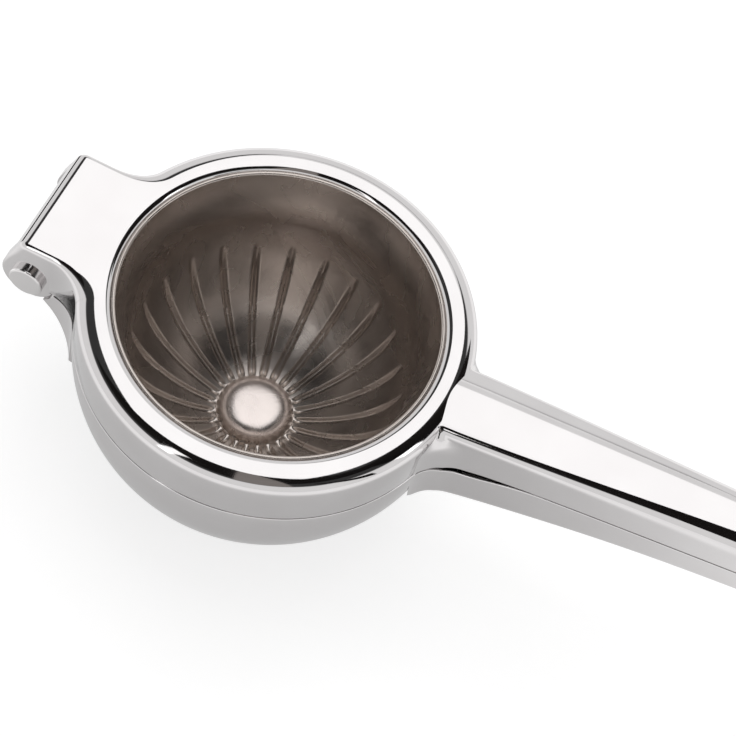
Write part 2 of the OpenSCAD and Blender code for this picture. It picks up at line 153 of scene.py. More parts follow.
both = add(tree, "ShaderNodeAddShader", {}, in0=paint.outputs[0], in1=glow.outputs[0])
add(tree, "ShaderNodeOutputMaterial", {}, Surface=both.outputs[0])
table.data.materials.append(board)

# The room is white where the camera or a reflection finds it, and 0.6 as bright where it only
# lights the table. Above 38 degrees reflections find it nearly black, so that only the
# softboxes show there.
world = bpy.data.worlds.new("white_room")
bpy.context.scene.world = world
world.use_nodes = True
world.node_tree.nodes.clear()
tree = world.node_tree
room = add(tree, "ShaderNodeMapRange", {}, Value=shown_directly(tree), To_Min=0.6, To_Max=1.0)
place = add(tree, "ShaderNodeTexCoord", {})
ways = add(tree, "ShaderNodeSeparateXYZ", {}, Vector=place.outputs["Generated"])
fall = add(tree, "ShaderNodeMapRange", {"interpolation_type": "SMOOTHSTEP"},
           Value=ways.outputs["Z"], From_Min=0.54, From_Max=0.62, To_Min=0.0, To_Max=-0.95)
path = add(tree, "ShaderNodeLightPath", {})
ceiling = add(tree, "ShaderNodeMath", {"operation": "MULTIPLY_ADD"},
              in0=path.outputs["Is Glossy Ray"], in1=fall.outputs[0], in2=1.0)
light = add(tree, "ShaderNodeMath", {"operation": "MULTIPLY"}, in0=room.outputs[0],
            in1=ceiling.outputs[0])
air = add(tree, "ShaderNodeBackground", {}, Color=linear("#FFFFFF"), Strength=light.outputs[0])
add(tree, "ShaderNodeOutputWorld", {}, Surface=air.outputs[0])


def toward(az, el, far):
    """A point in metres, so far from the ring's middle in a direction given in degrees."""
    a, e = math.radians(az), math.radians(el)
    return Vector((far * math.cos(a) * math.cos(e), far * math.sin(a) * math.cos(e),
                   RING_TOP * MM + far * math.sin(e)))


def softbox(name, at, aim, wide, deep, brightness):
    """A rectangular lamp turned to a point, its face as bright as the given share of white."""
    lamp = bpy.data.lights.new(name, "AREA")
    lamp.shape = "RECTANGLE"
    lamp.size, lamp.size_y = wide, deep
    lamp.energy = brightness * math.pi * wide * deep
    made = bpy.data.objects.new(name, lamp)
    bpy.context.scene.collection.objects.link(made)
    made.location = at
    made.rotation_euler = (Vector(at) - Vector(aim)).to_track_quat("Z", "Y").to_euler()
    made.visible_camera = False


middle = toward(0, 0, 0)
softbox("overhead_softbox", (-0.08, 0.5, 1.15), (-0.08, 0.5, 0), 0.8, 1.24, 1.5)
softbox("back_softbox", (-0.08, 1.3, 1.15), (-0.08, 1.3, 0), 0.8, 0.36, 0.95)
softbox("right_softbox", toward(5, 27, 0.9), middle, 0.16, 0.24, 1.6)
softbox("front_strip", toward(-111, 38, 0.85), middle, 0.09, 0.6, 1.6)

# The cloth hangs on a round frame: a band of a globe, left open behind and overhead. Its lower
# edge drops at the undyed panel, and drops furthest beside the handles.
deselect()
bpy.ops.mesh.primitive_uv_sphere_add(segments=90, ring_count=90, radius=CLOTH_R,
                                     location=middle)
cloth = bpy.context.object
cloth.name = "black_cloth"
bpy.ops.object.mode_set(mode="EDIT")
bpy.ops.mesh.select_all(action="DESELECT")
web = bmesh.from_edit_mesh(cloth.data)
for face in web.faces:
    spot = face.calc_center_median()
    el = math.degrees(math.asin(max(-1, min(1, spot.z / CLOTH_R))))
    az = math.degrees(math.atan2(spot.y, spot.x))
    from_el = 44 if az < -78 else 36 if az < -50 else 52
    near_side = from_el < el < 84 and -172 < az < 0
    by_handles = 35 < el < 68 and 0 <= az < 12 or 20 < el < 66 and 12 <= az < 55
    face.select_set(not (near_side or by_handles))
    face.material_index = int(-78 < az < -50)
bmesh.update_edit_mesh(cloth.data)
bpy.ops.mesh.delete(type="FACE")
bpy.ops.object.mode_set(mode="OBJECT")
seen_by_metal_only(cloth)

# Two black cards stand close by, one behind the hinge for the dark lines round the tab's end
# and one beside the handles for the dark line that widens along them.
cards = []
for name, corners in (
        ("hinge_card", [(-78, 0, 30), (-78, 40, 30), (-78, 0, 47), (-78, 40, 47)]),
        ("handle_card", [(62, -60, 100), (175, -60, 68), (62, -60, 106), (175, -60, 125)])):
    deselect()
    bpy.ops.mesh.primitive_plane_add(size=1, location=(0, 0, 0))
    card = bpy.context.object
    card.name = name
    for vert, corner in zip(card.data.vertices, corners):
        vert.co = Vector(corner) * MM
    seen_by_metal_only(card)
    cards.append(card)

# Wool cloth, dyed black, and a panel of undyed wool that hangs in it at the right of the
# camera. Both glow with their tone as a painted light, uneven in patches 0.7 m wide as painted
# light and shade of folds, so no dark reflection is one flat tone.
for name, deep, pale in (("black_wool_cloth", "#080808", "#262322"),
                         ("undyed_wool_cloth", "#807B78", "#A09A96")):
    wool, tree = bare_material(name)
    # Painted light and shade of folds: the glowing tone varies in patches.
    painted_fold_shade = add(tree, "ShaderNodeTexNoise", {}, Scale=1.5, Detail=2.0)
    tone = add(tree, "ShaderNodeMix", {"data_type": "RGBA"}, in0=painted_fold_shade.outputs["Fac"],
               in6=linear(deep), in7=linear(pale))
    painted_glow = add(tree, "ShaderNodeEmission", {}, Color=tone.outputs[2], Strength=1.0)
    add(tree, "ShaderNodeOutputMaterial", {}, Surface=painted_glow.outputs[0])
    cloth.data.materials.append(wool)
for card in cards:
    card.data.materials.append(cloth.data.materials[0])

# ---- Cup, neck and lower handle ----
# One forging of 18/8 stainless steel, ground and polished to a mirror: the round cup with its
# drain mouth, the forked neck under the hinge, and the lower handle that grows from the cup's
# wall with its edges rounded and a shallow bed for the plate that closes it.

# The cup's radii outside and inside, the heights of its widest place and rim, and the seam.
CUP_R, CUP_IN_R, EQUATOR_Z, RIM_Z, SEAM_Z = 39.985, 38.0, 36.661, 38.461, 38.661
# Its foot, drain mouth, floor and broken edges, and the rounds of its rim.
FOOT_R, DRAIN_R, FLOOR_T, BREAK, RIM_OUT_R, RIM_IN_R = 16.0, 13.0, 2.0, 0.2, 0.25, 0.15
# The ledge for the strainer's flange, the radius at which the neck ends inside the wall, and the
# depth under the skin at which the handles' sides run on.
LEDGE_R, LEDGE_T, FLANGE_T, WALL_MID_R, UNDER_SKIN = 36.2, 1.6, 1.0, 39.0, 0.06
# The turns in degrees, from level, where the round meets foot, drain floor and ledge.
FOOT_TURN, FLOOR_TURN, LEDGE_TURN = -66.42, -65.8, -1.2
# The round of the ring's top edge, and the pin.
EDGE_W, EDGE_H = 4.0, 3.1
HINGE_X, HINGE_Z = (frame["joints"][0]["pos_m"][i] / MM for i in (0, 2))
# The neck: its fork, its bore for the ears' round ends and the slope of its underside.
NECK_X, FORK_X, FORK_HALF, EAR_BORE_R = -45.0, -40.5, 9.15, 6.3
NECK_TIP_X, NECK_TIP_Z, NECK_FOOT_X, NECK_FOOT_Z = -45.016, 35.776, -36.76, 23.461
# Half the width of neck and tab, and the hollow corners that lead them into the round.
TAB_HALF, CORNER_R, CORNER_X, CORNER_TURN = 13.1, 9.0, -43.733, 26.81
CORNER_Y = TAB_HALF + CORNER_R
# Both handles: where they start, bend level and end, their half widths and the seam's course.
ROOT_X, BEND_X, HANDLE_END, BEND_RUN, RISE = 42, 110, 158.0, 120, 0.12
ROOT_W, TIP_W, HANDLE_WALL, ROOT_CORNER_R = 8.4, 6.3, 1.5, 8
UPPER_H, EDGE_DROP, SEAM_DIP, SEAM_RUN, SEAM_EDGE_R = 10.1, 1.2, 2.4, 8, 0.25
# The lower handle's height, the round of its edges and tip, and how its underside runs out at
# the cup.
LOWER_H, LOWER_ROOT_H, ROOT_RUN = 7.9, 4.4, 32
LOW_EDGE_R, LOW_TIP_R, RUN_OUT_X, RUN_OUT_W, RUN_OUT_R = 3.08, 3.05, 43, 4.6, 5
# The valley along the seam beside the cup, and the bed of the plates.
SEAM_GAP, VALLEY_H, VALLEY_X, VALLEY_RUN = 0.22, 1.5, 47, 8
PLATE_X, PLATE_END_X, LOW_BED, HIGH_BED, NO_BED = 44, HANDLE_END - 3.1, 1.9, 1.7, 0.02


def arc(x, z, r, start, end, steps):
    """Points of an arc in degrees, both ends with it."""
    turns = [math.radians(start + (end - start) * i / steps) for i in range(steps + 1)]
    return [(x + r * math.cos(t), z + r * math.sin(t)) for t in turns]


def pick(piece):
    """Makes one piece active and selects it alone."""
    deselect()
    bpy.context.view_layer.objects.active = piece
    piece.select_set(True)


def clean(piece, sharp=32):
    """Merges doubles, turns the faces outwards and smooths all but the sharp edges."""
    pick(piece)
    bpy.ops.object.mode_set(mode="EDIT")
    bpy.ops.mesh.select_all(action="SELECT")
    bpy.ops.mesh.remove_doubles(threshold=2e-6)
    bpy.ops.mesh.normals_make_consistent(inside=False)
    bpy.ops.object.mode_set(mode="OBJECT")
    bpy.ops.object.shade_smooth_by_angle(angle=math.radians(sharp))
    return piece


def turned_form(name, profile, steps=240):
    """A closed profile of (radius, height) in millimetres, spun round the upright axis."""
    deselect()
    bpy.ops.mesh.primitive_circle_add(vertices=len(profile), radius=0.01)
    piece = bpy.context.object
    piece.name = name
    for vert, (r, z) in zip(piece.data.vertices, profile):
        vert.co = Vector((r, 0, z)) * MM
    bpy.ops.object.mode_set(mode="EDIT")
    bpy.ops.mesh.select_all(action="SELECT")
    bpy.ops.mesh.spin(steps=steps, angle=math.tau, center=(0, 0, 0), axis=(0, 0, 1))
    return clean(piece)


def loft(name, rows, closed=True, caps=False):
    """One cross-section, extruded from each row of points to the next along the piece."""
    deselect()
    bpy.ops.mesh.primitive_circle_add(vertices=len(rows[0]), radius=0.01)
    piece = bpy.context.object
    piece.name = name
    order = piece.data.attributes.new("order", "INT", "POINT")
    order.data.foreach_set("value", range(len(rows[0])))
    for vert, place in zip(piece.data.vertices, rows[0]):
        vert.co = Vector(place) * MM
    bpy.ops.object.mode_set(mode="EDIT")
    if not closed:
        web = bmesh.from_edit_mesh(piece.data)
        web.verts.ensure_lookup_table()
        web.edges.remove(web.edges.get((web.verts[-1], web.verts[0])))
        bmesh.update_edit_mesh(piece.data)
    bpy.ops.mesh.select_all(action="SELECT")
    for row in rows[1:]:
        bpy.ops.mesh.extrude_region_move()
        web = bmesh.from_edit_mesh(piece.data)
        tag = web.verts.layers.int["order"]
        for vert in web.verts:
            if vert.select:
                vert.co = Vector(row[vert[tag]]) * MM
        bmesh.update_edit_mesh(piece.data)
    if caps:
        bpy.ops.mesh.select_all(action="SELECT")
        bpy.ops.mesh.fill_holes(sides=0)
    bpy.ops.object.mode_set(mode="OBJECT")
    piece.data.attributes.remove(piece.data.attributes["order"])
    return piece


def join(name, pieces):
    """Several parts of one forging as one piece."""
    deselect()
    for piece in pieces:
        piece.select_set(True)
    bpy.context.view_layer.objects.active = pieces[0]
    bpy.ops.object.join()
    pieces[0].name = name
    return pieces[0]


def cut(piece, cutter):
    """Takes a cutter's shape out of a piece, and the cutter away."""
    work = piece.modifiers.new("cut", "BOOLEAN")
    work.operation, work.solver, work.object = "DIFFERENCE", "EXACT", cutter
    pick(piece)
    bpy.ops.object.modifier_apply(modifier=work.name)
    bpy.data.objects.remove(cutter)


def coat(piece, material):
    """Gives a piece one material and no other."""
    piece.data.materials.clear()
    piece.data.materials.append(material)


def half_w(x):
    """Half of a handle's width, round at its end."""
    taper = min(1, max(0, (x - ROOT_X) / (BEND_X - ROOT_X)))
    tip = max(0, x - HANDLE_END + TIP_W) / TIP_W
    return (ROOT_W + (TIP_W - ROOT_W) * taper) * math.sqrt(max(0.02, 1 - tip * tip))


def top_edge_z(x):
    """Height of the upper handle's top at its edges, under the crown."""
    past = max(0, x - BEND_X)
    return RING_TOP - EDGE_DROP + RISE * (x - ROOT_X - past * past / BEND_RUN)


def seam_line(x):
    """Height of the seam between the handles: level at the cup, then rising."""
    dip = SEAM_DIP * math.exp(-(x - ROOT_X) / SEAM_RUN)
    return max(SEAM_Z, top_edge_z(x) + EDGE_DROP - UPPER_H - dip)


def smooth_step(value, low, high):
    """0 below low, 1 above high and a soft change between."""
    t = min(1, max(0, (value - low) / (high - low)))
    return t * t * (3 - 2 * t)


def body_r(z):
    """Radius of the cup or of the ring at a height."""
    share = min(1, max(0, (z - RING_TOP + EDGE_H) / EDGE_H))
    under = max(0, EQUATOR_Z - z)
    return math.sqrt(CUP_R ** 2 - under ** 2) - EDGE_W * (1 - math.sqrt(1 - share ** 2))


def in_corner(x, y, z, corner_r):
    """Half width of a handle's side at a place, with the rounded corner to the cup."""
    r, middle_y = body_r(z), y + corner_r
    if middle_y >= r + corner_r:
        return y
    middle_x = math.sqrt((r + corner_r) ** 2 - middle_y ** 2)
    if x >= middle_x:
        return y
    if x > middle_x * r / (r + corner_r):
        return middle_y - math.sqrt(corner_r ** 2 - (middle_x - x) ** 2)
    # Further in, the side follows the cup just under its skin.
    return math.sqrt(max(y * y, (r - UNDER_SKIN) ** 2 - x * x))


# Places of the handles' cross-sections: close together where the rounded corners leave the cup,
# even along the handle, and close again round the tip.
STATIONS = ([37.62, 37.95, 38.2, 38.6, 39, 39.5, 40, 40.5, 41, 41.5, 42, 42.5, 43, 43.5, 44, 44.5,
             45.11, 46, 47, 48.5, 50, 52] + [55 + 3.05 * i for i in range(31)]
            + [149 + i for i in range(3)]
            + [HANDLE_END - TIP_W + 0.02 + (TIP_W - 0.03) * math.sin(math.radians(5 * i))
               for i in range(19)])


def lower_section(x):
    """The lower handle's cross-section at a place along it."""
    w = half_w(x)
    r = min(0.8 * w, LOW_EDGE_R)
    gap = SEAM_GAP + VALLEY_H * math.exp(-((x - VALLEY_X) / VALLEY_RUN) ** 2)
    top = seam_line(x) - gap
    run_in = min(RUN_OUT_W, max(0, RUN_OUT_X - x))
    run_out = RUN_OUT_R - math.sqrt(RUN_OUT_R ** 2 - run_in ** 2)
    end = max(0, x - HANDLE_END + LOW_TIP_R)
    root_h = LOWER_ROOT_H * math.exp(-((x - ROOT_X) / ROOT_RUN) ** 2)
    low = seam_line(x) - LOWER_H - root_h - run_out
    low += LOW_EDGE_R - math.sqrt(LOW_EDGE_R ** 2 - end ** 2)
    bed = LOW_BED if PLATE_X < x < PLATE_END_X else NO_BED
    lip = max(w - HANDLE_WALL, 0.2 * w)
    b = min(SEAM_EDGE_R, 0.2 * w)
    side = [(w, top - b - 0.1), (w, top - b - 0.3)]
    side += [(w, top - b - 0.3 + (low + r - top + b + 0.3) * i / 6) for i in range(1, 6)]
    half = [(lip, top - bed), (lip, top)] + arc(w - b, top - b, b, 90, 0, 3) + side
    half += arc(w - r, low + r, r, 0, -90, 12) + [((w - r) * 0.96, low), ((w - r) * 0.4, low)]
    half = [(in_corner(x, y, z, ROOT_CORNER_R) if y > 0.8 * w else y, z) for y, z in half]
    return [(x, y, z) for y, z in half + [(-y, z) for y, z in reversed(half)]]


# The cup's outside from its foot to the rim, then the ledge for the strainer's flange and the
# inside down to the drain mouth.
sphere = arc(0, EQUATOR_Z, CUP_R, FOOT_TURN, 0, 56)
inside = arc(0, EQUATOR_Z, CUP_IN_R, LEDGE_TURN, FLOOR_TURN, 40)
ledge_z = RIM_Z - FLANGE_T
cup = turned_form("cup_shell", [(FOOT_R - BREAK, 0)] + sphere
                  + arc(CUP_R - RIM_OUT_R, RIM_Z - RIM_OUT_R, RIM_OUT_R, 0, 90, 4)
                  + arc(CUP_IN_R + 2 * RIM_IN_R, RIM_Z - RIM_IN_R, RIM_IN_R, 90, 180, 3)
                  + [(CUP_IN_R + RIM_IN_R, ledge_z), (LEDGE_R, ledge_z),
                     (LEDGE_R, ledge_z - LEDGE_T)]
                  + inside
                  + [(DRAIN_R + BREAK, FLOOR_T), (DRAIN_R, FLOOR_T - BREAK), (DRAIN_R, BREAK),
                     (DRAIN_R + BREAK, 0)])

# The fork of the neck: its plan is drawn, pulled up, cut along the sloping underside and
# bored for the round ends of the ears.
near = [(FORK_X, 0), (FORK_X, -FORK_HALF), (NECK_X + BREAK, -FORK_HALF),
        (NECK_X, -FORK_HALF - BREAK), (NECK_X, BREAK - TAB_HALF), (NECK_X + BREAK, -TAB_HALF)]
near += arc(CORNER_X, -CORNER_Y, CORNER_R, 90, CORNER_TURN, 16)
near += [(-33, -17)]  # inside the cup, where the core is cut out
plan = near + [(x, -y) for x, y in reversed(near[1:])]
neck = loft("neck", [[(x, y, z) for x, y in plan] for z in (NECK_FOOT_Z, RIM_Z - 0.02)],
            caps=True)
pick(neck)
bpy.ops.object.mode_set(mode="EDIT")
bpy.ops.mesh.select_all(action="SELECT")
bpy.ops.mesh.bisect(plane_co=Vector((NECK_TIP_X, 0, NECK_TIP_Z)) * MM,
                    plane_no=(NECK_FOOT_Z - NECK_TIP_Z, 0, NECK_TIP_X - NECK_FOOT_X),
                    use_fill=True, clear_outer=True)
bpy.ops.object.mode_set(mode="OBJECT")
deselect()
bpy.ops.mesh.primitive_cylinder_add(vertices=128, radius=EAR_BORE_R * MM, depth=0.05,
                                    location=(HINGE_X * MM, 0, HINGE_Z * MM),
                                    rotation=(math.pi / 2, 0, 0))
cut(neck, bpy.context.object)
hollow = turned_form("cup_core", [(0, -2.3)] + arc(0, EQUATOR_Z, WALL_MID_R, -85, 0, 40)
                     + [(WALL_MID_R, 60), (0, 60)], 120)
cut(neck, hollow)

lower_handle = loft("lower_handle", [lower_section(x) for x in STATIONS], caps=True)
cup_lever = join("polished_cup_lever", [cup, clean(neck), clean(lower_handle, 40)])
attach(cup_lever, "cup_lever")
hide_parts("cup_frame")

# 18/8 stainless steel, mirror polished on a sisal wheel: a slightly warm grey metal that shows
# the room sharply, with the wheel's faint waves, 22 mm long, and clouds of haze, 11 mm across.
mirror_steel, tree = bare_material("mirror_polished_stainless_steel")
place = add(tree, "ShaderNodeTexCoord", {})
haze = add(tree, "ShaderNodeTexNoise", {}, Vector=place.outputs["Object"], Scale=90.0, Detail=4.0)
rough = add(tree, "ShaderNodeMapRange", {}, Value=haze.outputs["Fac"], To_Min=0.045, To_Max=0.085)
wave = add(tree, "ShaderNodeTexNoise", {}, Vector=place.outputs["Object"], Scale=45.0, Detail=1.0)
swell = add(tree, "ShaderNodeBump", {}, Strength=0.06, Distance=0.0004,
            Height=wave.outputs["Fac"])
tone = add(tree, "ShaderNodeMix", {"data_type": "RGBA"}, in0=haze.outputs["Fac"],
           in6=linear("#CAC7C7"), in7=linear("#D3D1D1"))
steel = add(tree, "ShaderNodeBsdfPrincipled", {}, Base_Color=tone.outputs[2], Metallic=1.0,
            Roughness=rough.outputs[0], Normal=swell.outputs[0])
add(tree, "ShaderNodeOutputMaterial", {}, Surface=steel.outputs[0])
coat(cup_lever, mirror_steel)

# ---- Strainer bowl ----
# A deep-drawn bowl of thin 18/8 sheet with two rings of punched slots, dropped loose into the
# cup on its flange. Its finish is satin from the drawing and a light brush, whose lines are
# drawn 0.4 mm wide, coarser than real ones, so that they show.
satin_steel, tree = bare_material("satin_finished_stainless_steel")
place = add(tree, "ShaderNodeTexCoord", {})
lines = add(tree, "ShaderNodeMapping", {}, Vector=place.outputs["Object"], Scale=(1.0, 1.0, 9.0))
brush = add(tree, "ShaderNodeTexNoise", {}, Vector=lines.outputs[0], Scale=260.0, Detail=5.0)
cloud = add(tree, "ShaderNodeTexNoise", {}, Vector=place.outputs["Object"], Scale=70.0,
            Detail=3.0, Distortion=1.5)
tone = add(tree, "ShaderNodeMix", {"data_type": "RGBA"}, in0=cloud.outputs["Fac"],
           in6=linear("#A8A19C"), in7=linear("#BDB6B1"))
rough = add(tree, "ShaderNodeMapRange", {}, Value=brush.outputs["Fac"], To_Min=0.24, To_Max=0.4)
swell = add(tree, "ShaderNodeBump", {}, Strength=0.15, Distance=0.0002,
            Height=brush.outputs["Fac"])
steel = add(tree, "ShaderNodeBsdfPrincipled", {}, Base_Color=tone.outputs[2], Metallic=1.0,
            Roughness=rough.outputs[0], Normal=swell.outputs[0])
add(tree, "ShaderNodeOutputMaterial", {}, Surface=steel.outputs[0])
coat(frame["nodes"]["strainer_bowl"], satin_steel)

# ---- Plates that close the two handles ----
# Flat strips of 1 mm stainless sheet, brushed lengthwise and laser welded into the handles'
# hollow sides, where they face each other across the seam. The lines are drawn 17 mm long and
# 0.6 mm wide, coarser than a belt leaves them, so that they show.
brushed_steel, tree = bare_material("brushed_stainless_sheet")
place = add(tree, "ShaderNodeTexCoord", {})
lines = add(tree, "ShaderNodeMapping", {}, Vector=place.outputs["Object"], Scale=(1.0, 30.0, 30.0))
brush = add(tree, "ShaderNodeTexNoise", {}, Vector=lines.outputs[0], Scale=60.0, Detail=6.0)
tone = add(tree, "ShaderNodeMix", {"data_type": "RGBA"}, in0=brush.outputs["Fac"],
           in6=linear("#B4B1AE"), in7=linear("#D2D0CE"))
rough = add(tree, "ShaderNodeMapRange", {}, Value=brush.outputs["Fac"], To_Min=0.2, To_Max=0.38)
swell = add(tree, "ShaderNodeBump", {}, Strength=0.3, Distance=0.0001,
            Height=brush.outputs["Fac"])
steel = add(tree, "ShaderNodeBsdfPrincipled", {}, Base_Color=tone.outputs[2], Metallic=1.0,
            Roughness=rough.outputs[0], Normal=swell.outputs[0])
add(tree, "ShaderNodeOutputMaterial", {}, Surface=steel.outputs[0])
for node in ("press_handle_plate", "cup_handle_plate"):
    coat(frame["nodes"][node], brushed_steel)

# ---- Press lever: ring, hinge tab and upper handle ----
# The second forging, polished like the first: a ring with a skirt that shuts over the cup, a
# tab that ends in two ears round the pin, and the crowned upper handle that leaves the ring in
# a crease on top and in rounded corners at its sides.

# The seat of the press bowl with its rounded edge, the top's thickness and the skirt's foot.
SEAT_R, SEAT_ROUND_W, SEAT_ROUND_H, TOP_T, SKIRT_FOOT_R = 33.2, 1.8, 1.2, 2, 0.3
skirt_low = SEAM_Z + 0.05
# The tab and its ears: edge rounds, the ears' round end, inner faces and foot.
TAB_EDGE_R, EAR_EDGE_R, EAR_R, EAR_IN, EAR_FOOT_X = 1.4, 0.6, 5.993, 10.1, -42.83
# The tab's end: the round on top, and the turns in degrees at which the ears' round starts and
# ends. Below it is the hollow between the ears.
TAB_END_X, TAB_END_R, LEAN, FOOT_END = -49.4, 2.1, 158.62, 341.03
HOLLOW_IN_X, HOLLOW_END_X, HOLLOW_Z = -39.5, -49.5, 46.66
ACROSS = (-EAR_IN, -4.6, 0, 4.6, EAR_IN)
# The upper handle: its crown, the round of its end and where it leaves the ring's inside.
CROWN_H, UPPER_TIP_R, LEAVES_RING_X = 1.58, 3.5, 37.3
# Its edges' round at the root, what the round gains and by where, and the least corner to the
# skirt with the heights over which the corner closes to it.
TOP_EDGE_R, TOP_EDGE_GAIN, GAINED_X = 2.0, 2.6, 115
CREASE_R, CREASE_LOW, CREASE_HIGH = 0.3, 45.8, 50

ring = turned_form(
    "ring_and_skirt",
    [(CUP_IN_R, skirt_low), (CUP_R - SKIRT_FOOT_R - 0.005, skirt_low)]
    + arc(CUP_R - SKIRT_FOOT_R, skirt_low + SKIRT_FOOT_R, SKIRT_FOOT_R, -90, 0, 3)
    + [(CUP_R, RING_TOP - EDGE_H - 0.05)]
    + [(CUP_R - EDGE_W + EDGE_W * math.cos(t), RING_TOP - EDGE_H + EDGE_H * math.sin(t))
       for t in (math.radians(5 * i) for i in range(19))]
    + [(SEAT_R + SEAT_ROUND_W + 0.05, RING_TOP)]
    + [(SEAT_R + SEAT_ROUND_W * (1 - math.sin(t)), RING_TOP - SEAT_ROUND_H * (1 - math.cos(t)))
       for t in (math.radians(7.5 * i) for i in range(13))]
    + [(SEAT_R, RING_TOP - TOP_T), (CUP_IN_R, RING_TOP - TOP_T)])


def edge_section(wide, deep, spot):
    """Rounded long edge as points, from the flat on top to the foot of the wall."""
    steps = [(wide - wide * math.sin(t), deep - deep * math.cos(t))
             for t in (math.radians(5 * i) for i in range(19))]
    skirt_h = RING_TOP - SEAM_Z
    wall = [(0, deep + 0.1), (0, skirt_h - 0.4), (BREAK, skirt_h - 0.06)]
    return [spot(inward, RING_TOP - down) for inward, down in steps + wall]


def corner_edge(turn):
    """Width and depth of the edge's rounding along the hollow corner: finer on the tab."""
    share = smooth_step(90 - turn, 0, 90 - CORNER_TURN)
    return [TAB_EDGE_R + (full - TAB_EDGE_R) * share for full in (EDGE_W, EDGE_H)]


def corner_point(turn, inward, side, z):
    """A point beside the hollow corner."""
    c, s = math.cos(math.radians(turn)), math.sin(math.radians(turn))
    return (CORNER_X + (CORNER_R + inward) * c, side * (CORNER_Y - (CORNER_R + inward) * s), z)


TURNS = [90 - (90 - CORNER_TURN) * i / 24 for i in range(25)]
shell_parts = []
for side in (-1, 1):
    rows = [edge_section(*corner_edge(turn), lambda inward, z: corner_point(turn, inward, side, z))
            for turn in TURNS]
    shell_parts.append(loft("hollow_corner", rows, closed=False))

# Side view of the tab's outer face: flat top, rounded end, a face that leans out and the
# round of the ears about the pin, each place with its outward direction and edge rounding.
FLAT_STEPS, ROUND_STEPS, SLOPE_STEPS, FOOT_STEPS = 3, 10, 4, 32
outline = [(CORNER_X + (TAB_END_X - CORNER_X) * i / FLAT_STEPS, RING_TOP, 90, TAB_EDGE_R)
           for i in range(FLAT_STEPS + 1)]
top_round = arc(TAB_END_X, RING_TOP - TAB_END_R, TAB_END_R, 90, LEAN, ROUND_STEPS)
outline += [(x, z, 90 + (LEAN - 90) * (i + 1) / ROUND_STEPS, TAB_EDGE_R)
            for i, (x, z) in enumerate(top_round[1:])]
foot = arc(HINGE_X, HINGE_Z, EAR_R, LEAN, FOOT_END, FOOT_STEPS)
(x0, z0), (x1, z1) = top_round[-1], foot[0]
plate_end = (z0 - HOLLOW_Z) / (z0 - z1)
slope = [plate_end * (i + 1) / SLOPE_STEPS for i in range(SLOPE_STEPS)]
slope += [plate_end + (1 - plate_end) * (i + 1) / 6 for i in range(5)]
outline += [(x0 + (x1 - x0) * t, z0 + (z1 - z0) * t, LEAN,
             TAB_EDGE_R - (TAB_EDGE_R - EAR_EDGE_R) * smooth_step(t, 0, 0.9))
            for t in slope]
outline += [(x, z, LEAN + (FOOT_END - LEAN) * i / FOOT_STEPS, EAR_EDGE_R)
            for i, (x, z) in enumerate(foot)]


def tab_row(x, z, turn, r, side):
    """One side's rounded edge at a place of the outline, and the flat in to the ear's inside."""
    c, s = math.cos(math.radians(turn)), math.sin(math.radians(turn))
    steps = [math.radians(7.5 * i) for i in range(12, -1, -1)]
    row = [(x - c * r * (1 - math.cos(t)), side * (TAB_HALF - r + r * math.sin(t)),
            z - s * r * (1 - math.cos(t))) for t in steps]
    return row + [(x, side * EAR_IN, z)]


# Down to the hollow the skin runs right across; below it each ear has its own.
last_full = FLAT_STEPS + ROUND_STEPS + SLOPE_STEPS
full = []
for place in outline[:last_full + 1]:
    near_row, far_row = tab_row(*place, -1), tab_row(*place, 1)
    x, z = place[:2]
    full.append(near_row + [(x, y, z) for y in ACROSS[1:-1]] + far_row[::-1])
shell_parts.append(loft("tab_skin", full, closed=False))
for side in (-1, 1):
    rows = [tab_row(*place, side) for place in outline[last_full:]]
    shell_parts.append(loft("ear_skin", rows, closed=False))


def flat_face(name, points):
    """A flat face with any outline."""
    deselect()
    bpy.ops.mesh.primitive_circle_add(vertices=len(points), radius=0.01, fill_type="NGON")
    piece = bpy.context.object
    piece.name = name
    for vert, place in zip(piece.data.vertices, points):
        vert.co = Vector(place) * MM
    return piece


# Flat top of the tab, between the ring's flat, the two corners and the tab's end.
round_r = CUP_R - EDGE_W
top = [(round_r * math.cos(t), round_r * math.sin(t), RING_TOP)
       for t in (math.radians(180 + CORNER_TURN * (1 - i / 18)) for i in range(37))]
top += [corner_point(t, corner_edge(t)[0], 1, RING_TOP) for t in TURNS[::-1]]
top += [(CORNER_X, y, RING_TOP) for y in ACROSS[::-1]]
top += [corner_point(t, corner_edge(t)[0], -1, RING_TOP) for t in TURNS]
shell_parts.append(flat_face("tab_top", top))

# Sides of the ears outside and inside, the undersides, and the lining of the tab's hollow.
under_z = skirt_low + 0.01
for side in (-1, 1):
    rim = [tab_row(*place, side)[0] for place in outline]
    wall = [corner_point(90, 0, side, z) for z in (skirt_low + 0.3, RING_TOP - TAB_EDGE_R - 0.1)]
    shell_parts.append(flat_face("ear_side", rim + wall))
    inner = [(x, side * EAR_IN, z) for x, z, turn, r in outline[last_full:]]
    inner += [(x, side * EAR_IN, z) for x, z in (
        (HOLLOW_IN_X, skirt_low), (HOLLOW_IN_X, RING_TOP - TOP_T),
        (HOLLOW_END_X, RING_TOP - TOP_T), (HOLLOW_END_X, HOLLOW_Z))]
    shell_parts.append(flat_face("ear_inside", inner))
    under = [corner_point(t, BREAK, side, under_z) for t in TURNS]
    under += [(HOLLOW_IN_X, side * EAR_IN, under_z), (EAR_FOOT_X, side * EAR_IN, under_z),
              (EAR_FOOT_X, side * (TAB_HALF - EAR_EDGE_R), under_z)]
    shell_parts.append(flat_face("corner_underside", under))
x, z = outline[last_full][:2]
lining = [(x, z), (HOLLOW_END_X, HOLLOW_Z), (HOLLOW_END_X, RING_TOP - TOP_T),
          (HOLLOW_IN_X, RING_TOP - TOP_T)]
shell_parts.append(loft("tab_lining", [[(x, y, z) for y in ACROSS] for x, z in lining],
                        closed=False))
tab = clean(join("hinge_tab", shell_parts), 35)


